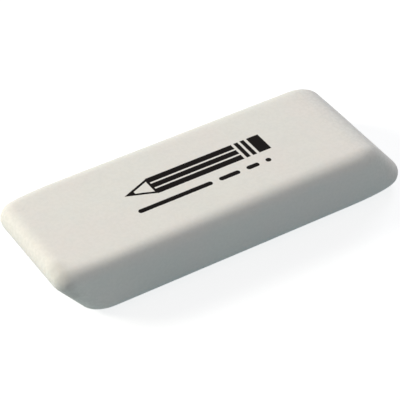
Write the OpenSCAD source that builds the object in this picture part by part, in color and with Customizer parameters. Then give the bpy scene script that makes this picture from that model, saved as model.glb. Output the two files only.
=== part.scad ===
// Rubber eraser: one moulded block of white rubber whose two ends lean the same way.
// X runs along the block, Y across it and Z up. The origin is the middle of the flat base.
// Seen from the side the block is a parallelogram. Each end has a sharp edge, the nose,
// and a blunt edge, the heel. The right end has its nose at the base and its heel at the top,
// and the left end is the right end turned over.

/* [Block] */
// Overall length, from the tip of one nose to the tip of the other
block_length = 60; // [40:0.5:90]
// Width across the block
block_width = 21; // [15:0.5:40]
// Height from the base to the top face
block_height = 9.7; // [7:0.1:16]

/* [Leaning ends] */
// Angle of the two end faces from upright, in degrees
end_lean = 39; // [0:1:50]

/* [Noses] */
// Radius of the sharp edge at each nose
nose_r = 2.2; // [0.5:0.1:3]
// How far from its tip a nose starts to narrow, along the block
nose_sweep = 8; // [0.5:0.5:12]
// How much a nose has narrowed at its tip, on either side
nose_tuck = 0.7; // [0.1:0.1:3]

/* [Heels] */
// Half length of the stretched ball that rounds a heel corner, along the block
heel_along = 4.5; // [0.5:0.1:6]
// Half width of that ball, across the block
heel_across = 2.6; // [0.5:0.1:4]
// Half height of that ball
heel_up = 2.1; // [0.5:0.1:3]

/* [Hidden] */

// Facets in a full turn of a ball
ball_fn = 32;
// Balls along the curve of a nose corner
nose_steps = 5;
// White rubber with a slightly warm tone
white_rubber = [0.88, 0.86, 0.83];

// Middle of the ball at the tip of a nose
nose_x = block_length / 2 - nose_r;
nose_y = block_width / 2 - nose_r;
// How far the heel's ball reaches towards the end face
heel_reach = norm([heel_along * cos(end_lean), heel_up * sin(end_lean)]);
// How far the end face, which touches both balls, draws the heel back from the nose
lean_back = (block_height - heel_up - nose_r) * tan(end_lean) + (heel_reach - nose_r) / cos(end_lean);
// Middle of the ball at a heel corner
heel_x = nose_x - lean_back;
heel_y = block_width / 2 - heel_across;

// A ball whose poles and sides are at their exact radius
module ball(r) {
    rotate_extrude($fn = ball_fn)
        intersection() {
            circle(r = r, $fn = ball_fn);
            translate([0, -r])
                square([r, 2 * r]);
        }
}

// A nose corner: a ball that follows a quarter of an ellipse from the tip to the side
module nose_corner() {
    for (step = [0 : nose_steps]) {
        turn = 90 * step / nose_steps;
        translate([nose_sweep * (cos(turn) - 1), nose_tuck * (sin(turn) - 1), 0])
            ball(nose_r);
    }
}

// A heel corner: one ball, stretched along the block so that the top runs gently into the end
module heel_corner() {
    scale([heel_along, heel_across, heel_up])
        ball(1);
}

// The four corners of the right end
module end_corners() {
    for (flip = [0, 1])
        mirror([0, flip, 0]) {
            translate([nose_x, nose_y, nose_r])
                nose_corner();
            translate([heel_x, heel_y, block_height - heel_up])
                heel_corner();
        }
}

// The whole block, stretched tight over the corners of both ends
module eraser_block() {
    color(white_rubber)
        hull() {
            end_corners();
            translate([0, 0, block_height])
                rotate([0, 180, 0])
                    end_corners();
        }
}

eraser_block();
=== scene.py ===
import math

import bpy
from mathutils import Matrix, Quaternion, Vector


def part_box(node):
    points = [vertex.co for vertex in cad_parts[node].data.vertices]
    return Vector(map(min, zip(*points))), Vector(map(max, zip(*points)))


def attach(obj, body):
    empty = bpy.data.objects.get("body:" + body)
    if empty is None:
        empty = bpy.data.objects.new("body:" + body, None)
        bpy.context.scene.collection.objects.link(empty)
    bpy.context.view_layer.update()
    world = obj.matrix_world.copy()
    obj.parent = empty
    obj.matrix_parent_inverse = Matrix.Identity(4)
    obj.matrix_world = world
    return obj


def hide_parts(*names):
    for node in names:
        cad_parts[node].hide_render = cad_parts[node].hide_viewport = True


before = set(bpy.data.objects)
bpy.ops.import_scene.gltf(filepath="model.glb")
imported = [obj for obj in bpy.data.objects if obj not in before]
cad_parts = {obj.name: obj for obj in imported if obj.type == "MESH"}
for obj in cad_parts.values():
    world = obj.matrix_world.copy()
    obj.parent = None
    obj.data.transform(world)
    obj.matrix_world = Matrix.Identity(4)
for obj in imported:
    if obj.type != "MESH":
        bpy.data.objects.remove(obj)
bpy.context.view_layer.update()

bpy.context.scene.view_settings.view_transform = "Standard"

# The eraser block: one piece of white rubber, moulded with both ends leaning the same way
# and then tumbled until every edge is soft. It is the whole object, so it stands for the
# one solid of the frame and keeps that solid's form.
low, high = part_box("eraser_block")
length = high[0] - low[0]
width = high[1] - low[1]
height = high[2] - low[2]

# Each end has a sharp edge, the nose, and a blunt one, the heel. A nose corner is rounded by
# balls that follow a quarter of an ellipse from the tip to the side, a heel corner by one
# long ball. The left end is the right end turned over. Sizes are in metres.
END_LEAN = math.radians(39)
NOSE_R = 0.0022
NOSE_SWEEP = 0.008
NOSE_TUCK = 0.00085
NOSE_STEPS = 8
HEEL_ALONG = 0.0045
HEEL_ACROSS = 0.0026
HEEL_UP = 0.0021
BALL_SEGMENTS = 48
nose_x = length / 2 - NOSE_R
nose_y = width / 2 - NOSE_R
heel_reach = math.hypot(HEEL_ALONG * math.cos(END_LEAN), HEEL_UP * math.sin(END_LEAN))
lean_back = (height - HEEL_UP - NOSE_R) * math.tan(END_LEAN)
lean_back += (heel_reach - NOSE_R) / math.cos(END_LEAN)
heel_x = nose_x - lean_back
heel_y = width / 2 - HEEL_ACROSS
heel_z = height - HEEL_UP
balls = []


def add_corner_balls(x, y, z, half_sizes):
    """Adds a ball at one corner of the right end and its likenesses at three more corners."""
    for side in (-y, y):
        for place in ((x, side, z), (-x, side, height - z)):
            bpy.ops.mesh.primitive_uv_sphere_add(
                segments=BALL_SEGMENTS,
                ring_count=BALL_SEGMENTS // 2,
                radius=1,
                location=place,
                scale=half_sizes,
            )
            balls.append(bpy.context.object)


def apply_modifier(kind, **settings):
    """Adds a modifier to the active object and applies it."""
    piece = bpy.context.object
    modifier = piece.modifiers.new(kind.lower(), kind)
    for name, value in settings.items():
        setattr(modifier, name, value)
    bpy.ops.object.modifier_apply(modifier=modifier.name)


for step in range(NOSE_STEPS + 1):
    turn = math.radians(90) * step / NOSE_STEPS
    swept_x = nose_x - NOSE_SWEEP * (1 - math.cos(turn))
    swept_y = nose_y - NOSE_TUCK * (1 - math.sin(turn))
    add_corner_balls(swept_x, swept_y, NOSE_R, (NOSE_R, NOSE_R, NOSE_R))
add_corner_balls(heel_x, heel_y, heel_z, (HEEL_ALONG, HEEL_ACROSS, HEEL_UP))
bpy.ops.object.select_all(action="DESELECT")
for ball in balls:
    ball.select_set(True)
bpy.ops.object.transform_apply()
bpy.ops.object.join()
eraser = bpy.context.object
eraser.name = "rubber_block"
eraser.data.name = "rubber_block"

# A skin drawn tight over the balls is the block, which is then cut into small even faces so
# that the slight waviness of soft rubber can be pressed into it. The waves only go inwards,
# so that the block stays within its sizes.
SKIN_FACE = 0.00025
SMOOTHING_ROUNDS = 6
WAVE_LENGTH = 0.009
WAVE_DETAIL = 1
WAVE_DEPTH = 0.00004
WAVE_CREST = 1.0
bpy.ops.object.mode_set(mode="EDIT")
bpy.ops.mesh.select_all(action="SELECT")
bpy.ops.mesh.convex_hull()
bpy.ops.object.mode_set(mode="OBJECT")
apply_modifier("REMESH", mode="VOXEL", voxel_size=SKIN_FACE)
apply_modifier("SMOOTH", iterations=SMOOTHING_ROUNDS)
wave = bpy.data.textures.new("rubber_waviness", "CLOUDS")
wave.noise_scale = WAVE_LENGTH
wave.noise_depth = WAVE_DETAIL
apply_modifier(
    "DISPLACE",
    texture=wave,
    texture_coords="LOCAL",
    strength=WAVE_DEPTH,
    mid_level=WAVE_CREST,
)
bpy.ops.object.shade_smooth()


class Paint:
    """A value in a material's nodes. Sums on it add Math nodes, and node() adds any other node."""

    def __init__(self, tree, socket=None):
        self.tree = tree
        self.socket = socket

    def node(self, kind, settings=None, sockets=None, out=0):
        """Adds a node, sets it up, fills or links its sockets, and gives one of its outputs."""
        made = self.tree.nodes.new(kind)
        for name, value in (settings or {}).items():
            setattr(made, name, value)
        for name, value in (sockets or {}).items():
            if isinstance(value, Paint):
                self.tree.links.new(value.socket, made.inputs[name])
            else:
                made.inputs[name].default_value = value
        return Paint(self.tree, made.outputs[out] if made.outputs else None)

    def part(self, name):
        """Another output of the same node."""
        return Paint(self.tree, self.socket.node.outputs[name])

    def maths(self, operation, *values):
        return self.node("ShaderNodeMath", {"operation": operation}, dict(enumerate(values)))

    def __add__(self, other):
        return self.maths("ADD", self, other)

    def __sub__(self, other):
        return self.maths("SUBTRACT", self, other)

    def __rsub__(self, other):
        return self.maths("SUBTRACT", other, self)

    def __mul__(self, other):
        return self.maths("MULTIPLY", self, other)

    def __neg__(self):
        return self.maths("MULTIPLY", self, -1.0)

    def __abs__(self):
        return self.maths("ABSOLUTE", self)

    def least(self, other):
        return self.maths("MINIMUM", self, other)

    def most(self, other):
        return self.maths("MAXIMUM", self, other)

    def root(self):
        return self.maths("SQRT", self)

    def fade(self, start, end):
        """0 at start and 1 at end, with a smooth change between them."""
        sockets = {"Value": self, "From Min": start, "From Max": end}
        return self.node("ShaderNodeMapRange", {"interpolation_type": "SMOOTHSTEP"}, sockets)

    def mix(self, colour_at_0, colour_at_1):
        """A colour between two. A Mix node's colours are its inputs 6 and 7 and its output 2."""
        sockets = {0: self, 6: colour_at_0, 7: colour_at_1}
        return self.node("ShaderNodeMix", {"data_type": "RGBA"}, sockets, out=2)

    __radd__ = __add__
    __rmul__ = __mul__


rubber = bpy.data.materials.new("white_rubber")
rubber.use_nodes = True
rubber.node_tree.nodes.clear()
paint = Paint(rubber.node_tree)

# Places on the block in millimetres, with z counted from the middle of its height.
MM = 1000
NOISE_MIDDLE = 0.5
half_width = width / 2 * MM
half_height = height / 2 * MM
half_face = nose_x - (height / 2 - NOSE_R) * math.tan(END_LEAN) + NOSE_R / math.cos(END_LEAN)
half_face *= MM
spot = paint.node("ShaderNodeTexCoord", out="Object")
spot = paint.node("ShaderNodeVectorMath", {"operation": "SCALE"}, {"Vector": spot, "Scale": MM})
x = paint.node("ShaderNodeSeparateXYZ", sockets={"Vector": spot}, out="X")
y = x.part("Y")
z = x.part("Z") - half_height


def noise(size, detail=2.0, roughness=0.5):
    """Soft cloudy values about NOISE_MIDDLE, in patches of about size millimetres."""
    sockets = {"Vector": spot, "Scale": 1 / size, "Detail": detail, "Roughness": roughness}
    return paint.node("ShaderNodeTexNoise", sockets=sockets, out="Fac")


def distance_to(place):
    """Distance in millimetres from a place on the block, given from the middle of its base."""
    sockets = {0: spot, 1: place}
    return paint.node("ShaderNodeVectorMath", {"operation": "DISTANCE"}, sockets, out="Value")


# The distance from a spot to the nearest edge is the middle one of its distances from
# the faces above, beside and beyond it.
RIM_WIDTH = 2.4
RIM_CORE = 0.5
to_side = half_width - abs(y)
to_flat = half_height - abs(z)
to_end = (half_face - abs(x + z * math.tan(END_LEAN))) * math.cos(END_LEAN)
to_edge = to_side.least(to_flat).most(to_side.most(to_flat).least(to_end))
rim = to_edge.fade(RIM_WIDTH, RIM_CORE)

# Warm white with faint patches and a fine crumbly grain that is stronger on the ends. It is
# a little cleaner where the edges rub, with two faint specks near the back left corner. Grey
# down the front left corner is painted shade, standing in for the shade of a rounder corner.
WARM_WHITE = (0.80, 0.765, 0.715, 1)
PINK_WHITE = (0.81, 0.755, 0.71, 1)
GREY_WHITE = (0.765, 0.745, 0.70, 1)
EDGE_WHITE = (0.825, 0.81, 0.75, 1)
# The darker grey serves the crumbly grain, the dirt specks and the painted shade on the corner.
GRAIN_SPECK_AND_SHADE_GREY = (0.51, 0.472, 0.436, 1)
PATCH_SIZE = 11.0
PATCH_FADE = (0.35, 0.65)
MOTTLE_SIZE = 4.0
MOTTLE_DETAIL = 3.0
MOTTLE_FADE = (0.45, 0.75)
MOTTLE_STRENGTH = 0.5
EDGE_STRENGTH = 0.3
CRUMB_SIZE = 0.5
CRUMB_DETAIL = 1.0
CRUMB_FADE = (0.35, 0.65)
FLAT_CRUMBS = 0.07
END_CRUMBS = 0.17
CRUMBS_REACH = 4.0
CRUMBS_CORE = 1.0
# Spots of painted shade down the front left corner, in place of the shade of a rounder corner.
PAINTED_SHADE_SPOTS = ((-29.1, -7.2, 9.3), (-29.3, -8.6, 8.7), (-29.0, -9.4, 7.4), (-28.2, -9.2, 5.4))
PAINTED_SHADE_REACH = 2.15
PAINTED_SHADE_CORE = 0.4
PAINTED_SHADE_STRENGTH = 0.52
SPECKS = ((-27.7, 6.3, 9.7), (-27.0, 6.2, 9.7))
SPECK_R = 0.4
SPECK_STRENGTH = 0.12
colour = noise(PATCH_SIZE).fade(*PATCH_FADE).mix(WARM_WHITE, PINK_WHITE)
mottle = noise(MOTTLE_SIZE, MOTTLE_DETAIL).fade(*MOTTLE_FADE)
colour = (mottle * MOTTLE_STRENGTH).mix(colour, GREY_WHITE)
colour = (rim * EDGE_STRENGTH).mix(colour, EDGE_WHITE)
crumbs = noise(CRUMB_SIZE, CRUMB_DETAIL).fade(*CRUMB_FADE)
crumbly = FLAT_CRUMBS + to_end.fade(CRUMBS_REACH, CRUMBS_CORE) * (END_CRUMBS - FLAT_CRUMBS)
colour = (crumbs * crumbly).mix(colour, GRAIN_SPECK_AND_SHADE_GREY)
# Painted shade down the front left corner, and two specks of dirt near the back left corner.
painted_shade_and_specks = [distance_to(place).fade(PAINTED_SHADE_REACH, PAINTED_SHADE_CORE) * PAINTED_SHADE_STRENGTH for place in PAINTED_SHADE_SPOTS]
painted_shade_and_specks += [distance_to(place).fade(SPECK_R, 0.0) * SPECK_STRENGTH for place in SPECKS]
strongest_shade_and_speck = painted_shade_and_specks[0]
for amount in painted_shade_and_specks[1:]:
    strongest_shade_and_speck = strongest_shade_and_speck.most(amount)
colour = strongest_shade_and_speck.mix(colour, GRAIN_SPECK_AND_SHADE_GREY)

# The printed mark: black ink pressed on the top face with a pad, as a pencil lying over
# a ruled line that breaks up where it has been rubbed out. The ink is thin and its edge
# is a little ragged over the grain of the rubber. Sizes are in millimetres.
GRAIN_SIZE = 0.35
GRAIN_DETAIL = 3.0
GRAIN_ROUGHNESS = 0.6
MARK_X = -1.3
MARK_Y = 0.9
INK_BLACK = (0.0075, 0.0055, 0.005, 1)
INK_BLUR = 0.05
INK_RAGGED = 0.10
INK_DEPTH = 0.3
PENCIL_HALF = 1.9
PENCIL_TIP = -12.0
PENCIL_SHOULDER = -7.2
SHOULDER_LAP = 0.2
CONE_LINE = 0.42
LEAD_LENGTH = 1.7
BARREL_END = 7.6
BARREL_EDGE_Y = 0.66
BARREL_EDGE_HALF = 0.15
BANDS = ((8.05, 8.75), (9.15, 9.85), (10.3, 12.4))
RULE_Y = -4.0
RULE_HALF = 0.42
RULE_DASHES = ((-12.0, 0.6), (1.8, 5.4), (6.6, 8.8), (10.0, 10.9))
mark_x = x - MARK_X
mark_y = y - MARK_Y


def box_gap(left, right):
    """Distance outside a box as wide as the pencil."""
    along = abs(mark_x - (left + right) / 2) - (right - left) / 2
    return along.most(abs(mark_y) - PENCIL_HALF)


def rule_gap(left, right):
    """Distance outside a stroke of the ruled line, which has round ends."""
    along = (abs(mark_x - (left + right) / 2) - (right - left) / 2 + RULE_HALF).most(0.0)
    across = mark_y - RULE_Y
    return (along * along + across * across).root() - RULE_HALF


taper = PENCIL_HALF / (PENCIL_SHOULDER - PENCIL_TIP)
cone = (abs(mark_y) - (mark_x - PENCIL_TIP) * taper) * math.cos(math.atan(taper))
cone = cone.most(mark_x - PENCIL_SHOULDER)
bare_wood = (cone + CONE_LINE).most((PENCIL_TIP + LEAD_LENGTH) - mark_x)
barrel = box_gap(PENCIL_SHOULDER - SHOULDER_LAP, BARREL_END)
barrel_edge = abs(abs(mark_y) - BARREL_EDGE_Y) - BARREL_EDGE_HALF
ink_gap = cone.most(-bare_wood).least(barrel.most(-barrel_edge))
for left, right in BANDS:
    ink_gap = ink_gap.least(box_gap(left, right))
for left, right in RULE_DASHES:
    ink_gap = ink_gap.least(rule_gap(left, right))
grain = noise(GRAIN_SIZE, GRAIN_DETAIL, GRAIN_ROUGHNESS)
ragged = (grain - NOISE_MIDDLE) * INK_RAGGED
on_top = z.fade(half_height - 2 * INK_DEPTH, half_height - INK_DEPTH)
ink = (ink_gap + ragged).fade(INK_BLUR, -INK_BLUR) * on_top

# A dull skin with a fine tooth, smoother where the edges rub, which lets a little light in,
# and over it the film of ink, which hardly shines and fills part of the tooth.
SKIN_ROUGHNESS = 0.60
SKIN_SHINE = 0.3
SHEEN_SIZE = 2.5
SHEEN_CHANGE = 0.14
EDGE_POLISH = 0.06
SWELL_SIZE = 1.6
SWELL_DEPTH = 0.012
GRAIN_DEPTH = 0.010
LIGHT_INSIDE = 0.12
LIGHT_REACH = 0.6
LIGHT_TINT = (1.0, 0.8, 0.6)
INK_ROUGHNESS = 0.5
INK_SHINE = 0.02
INK_FILL = 0.6
rough = SKIN_ROUGHNESS + (noise(SHEEN_SIZE) - NOISE_MIDDLE) * SHEEN_CHANGE - rim * EDGE_POLISH
swell = paint.node("ShaderNodeBump", sockets={"Height": noise(SWELL_SIZE), "Distance": SWELL_DEPTH / MM})
tooth = paint.node(
    "ShaderNodeBump",
    sockets={"Height": grain * (1 - ink * INK_FILL), "Distance": GRAIN_DEPTH / MM, "Normal": swell},
)
skin = paint.node(
    "ShaderNodeBsdfPrincipled",
    {"subsurface_method": "RANDOM_WALK"},
    {
        "Base Color": colour,
        "Roughness": rough,
        "Normal": tooth,
        "Specular IOR Level": SKIN_SHINE,
        "Subsurface Weight": LIGHT_INSIDE,
        "Subsurface Radius": LIGHT_TINT,
        "Subsurface Scale": LIGHT_REACH / MM,
    },
)
film = paint.node(
    "ShaderNodeBsdfPrincipled",
    sockets={
        "Base Color": INK_BLACK,
        "Roughness": INK_ROUGHNESS,
        "Normal": tooth,
        "Specular IOR Level": INK_SHINE,
    },
)
inked = paint.node("ShaderNodeMixShader", sockets={0: ink, 1: skin, 2: film})
paint.node("ShaderNodeOutputMaterial", sockets={"Surface": inked})
eraser.data.materials.append(rubber)
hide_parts("eraser_block")
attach(eraser, "root")

# The floor: a wide sheet of card that the eraser lies on. It is white to the eye and still
# takes the eraser's soft shadow, and it sends a little cool light up to the eraser.
FLOOR_SIZE = 4.0
CARD_COLOUR = (0.32, 0.32, 0.32, 1)
CARD_GLOW = 0.80
BOUNCE_GLOW = (0.055, 0.135, 0.16, 1)
PURE_WHITE = (1, 1, 1, 1)


def seen_directly(shades):
    """1 for what the camera sees, also in a reflection or through glass, and 0 for other light."""
    camera_ray = shades.node("ShaderNodeLightPath", out="Is Camera Ray")
    return camera_ray.most(camera_ray.part("Is Glossy Ray")).most(camera_ray.part("Is Transmission Ray"))


bpy.ops.object.select_all(action="DESELECT")
bpy.ops.mesh.primitive_plane_add(size=FLOOR_SIZE, location=(0, 0, low[2]))
bpy.ops.object.transform_apply()
floor = bpy.context.object
floor.name = "floor"
card = bpy.data.materials.new("white_card")
card.use_nodes = True
card.node_tree.nodes.clear()
paper = Paint(card.node_tree)
matt = paper.node("ShaderNodeBsdfDiffuse", sockets={"Color": CARD_COLOUR})
dim_glow = paper.node("ShaderNodeEmission", sockets={"Color": BOUNCE_GLOW})
white_glow = paper.node("ShaderNodeEmission", sockets={"Color": PURE_WHITE, "Strength": CARD_GLOW})
glow = paper.node("ShaderNodeMixShader", sockets={0: seen_directly(paper), 1: dim_glow, 2: white_glow})
sheet = paper.node("ShaderNodeAddShader", sockets={0: matt, 1: glow})
paper.node("ShaderNodeOutputMaterial", sockets={"Surface": sheet})
floor.data.materials.append(card)

# The light: a small soft lamp on the left of the eraser, a broad one behind it on the right,
# and a dim cool room round them, which is white where the camera looks past the floor.
ROOM_COLOUR = (0.93, 0.955, 1.0, 1)
ROOM_STRENGTH = 0.39
world = bpy.data.worlds.new("studio")
bpy.context.scene.world = world
world.use_nodes = True
world.node_tree.nodes.clear()
room = Paint(world.node_tree)
dim = room.node("ShaderNodeBackground", sockets={"Color": ROOM_COLOUR, "Strength": ROOM_STRENGTH})
white = room.node("ShaderNodeBackground", sockets={"Color": PURE_WHITE})
walls = room.node("ShaderNodeMixShader", sockets={0: seen_directly(room), 1: dim, 2: white})
room.node("ShaderNodeOutputWorld", sockets={"Surface": walls})
middle = Vector((0, 0, (low[2] + high[2]) / 2))


def heading(azimuth, elevation):
    """The way from the eraser to a lamp or camera. Azimuth 0 is in front of it and 90 on its right."""
    turn = math.radians(azimuth)
    rise = math.radians(elevation)
    return Vector((math.sin(turn) * math.cos(rise), -math.cos(turn) * math.cos(rise), math.sin(rise)))


def soft_lamp(name, azimuth, elevation, distance, size, power, colour):
    """Adds a square lamp that faces the eraser."""
    away = heading(azimuth, elevation)
    bpy.ops.object.light_add(type="AREA", location=middle + away * distance)
    lamp = bpy.context.object
    lamp.name = name
    lamp.rotation_euler = away.to_track_quat("Z", "Y").to_euler()
    lamp.data.size = size
    lamp.data.energy = power
    lamp.data.color = colour


soft_lamp(
    "key_lamp",
    azimuth=-119.5,
    elevation=28.5,
    distance=0.6,
    size=0.15,
    power=2.84,
    colour=(0.995, 1.0, 0.885),
)
soft_lamp(
    "back_lamp",
    azimuth=130,
    elevation=35,
    distance=1.0,
    size=0.4,
    power=2.9,
    colour=(0.93, 0.96, 1.0),
)

# The camera: a long lens above one corner of the eraser, as in the photograph. The lens is
# shifted so that the middle of the block comes to its place in the picture.
VIEW_AZIMUTH = -32.80
VIEW_ELEVATION = 40.20
VIEW_ROLL = math.radians(0.49)
VIEW_DISTANCE = 0.2892
LENS = 174.7
SENSOR = 36.0
CLIP_START = 0.01
FRAME_PIXELS = 400
MIDDLE_PIXEL = (204.98, 194.28)
away = heading(VIEW_AZIMUTH, VIEW_ELEVATION)
turned = away.to_track_quat("Z", "Y") @ Quaternion((0, 0, 1), VIEW_ROLL)
bpy.ops.object.camera_add(location=middle + away * VIEW_DISTANCE, rotation=turned.to_euler())
camera = bpy.context.object
camera.name = "camera"
camera.data.sensor_width = SENSOR
camera.data.lens = LENS
camera.data.shift_x = (FRAME_PIXELS / 2 - MIDDLE_PIXEL[0]) / FRAME_PIXELS
camera.data.shift_y = (MIDDLE_PIXEL[1] - FRAME_PIXELS / 2) / FRAME_PIXELS
camera.data.clip_start = CLIP_START
bpy.context.scene.camera = camera
